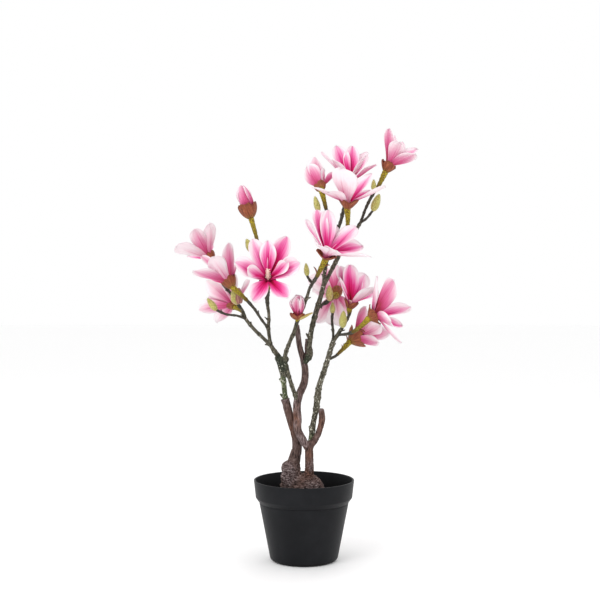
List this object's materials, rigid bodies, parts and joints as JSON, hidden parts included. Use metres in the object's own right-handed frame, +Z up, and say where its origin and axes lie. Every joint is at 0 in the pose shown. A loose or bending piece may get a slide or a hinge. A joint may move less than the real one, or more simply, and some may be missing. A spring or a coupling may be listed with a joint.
{
  "type": "artificial potted magnolia",
  "caption": "Artificial magnolia shrub in a tapered plastic pot: moulded stems fork into thin branches that end in pink blooms and furry green buds.",
  "frame": {"origin": "middle of the pot's flat underside", "axes": "+Z up, -Y towards the side that the picture shows, +X to that view's right"},
  "size_m": [0.4307, 0.2466, 0.751],
  "materials": {
    "pot_plastic": "matte charcoal moulded plastic",
    "filler": "rough black filler",
    "moulded_stem": "brown moulded bark with pale patches",
    "branch_plastic": "grey-green knobbly bark with lichen flecks",
    "bloom_fabric": "printed pink petals on yellow-green stems",
    "bud_fabric": "furry yellow-green buds"
  },
  "bodies": {
    "root": {"pot": "pot_plastic", "filler": "filler", "root_knot": "moulded_stem", "left_stem": "moulded_stem", "right_stem": "moulded_stem", "centre_stem": "moulded_stem", "short_stub": "moulded_stem", "left_bough": "branch_plastic", "inner_bough": "branch_plastic", "centre_bough": "branch_plastic", "right_bough": "branch_plastic", "left_fork_bough": "branch_plastic", "left_upper_bough": "branch_plastic", "inner_upper_bough": "branch_plastic", "top_left_bough": "branch_plastic", "top_right_bough": "branch_plastic", "right_upper_bough": "branch_plastic", "spray_left_outer": "bloom_fabric", "spray_left_front": "bloom_fabric", "spray_left_back": "bloom_fabric", "spray_left_tall": "bloom_fabric", "spray_left_centre": "bloom_fabric", "spray_centre_bud": "bloom_fabric", "spray_centre_front": "bloom_fabric", "spray_top_left": "bloom_fabric", "spray_top_middle": "bloom_fabric", "spray_top_front": "bloom_fabric", "spray_top_right": "bloom_fabric", "spray_right_back": "bloom_fabric", "spray_right_upper": "bloom_fabric", "spray_right_outer": "bloom_fabric", "spray_right_lower": "bloom_fabric", "bud_twig_left_low": "bud_fabric", "bud_twig_left": "bud_fabric", "bud_twig_top_right": "bud_fabric", "bud_twig_right_inner": "bud_fabric", "bud_twig_right": "bud_fabric"}
  },
  "joints": []
}
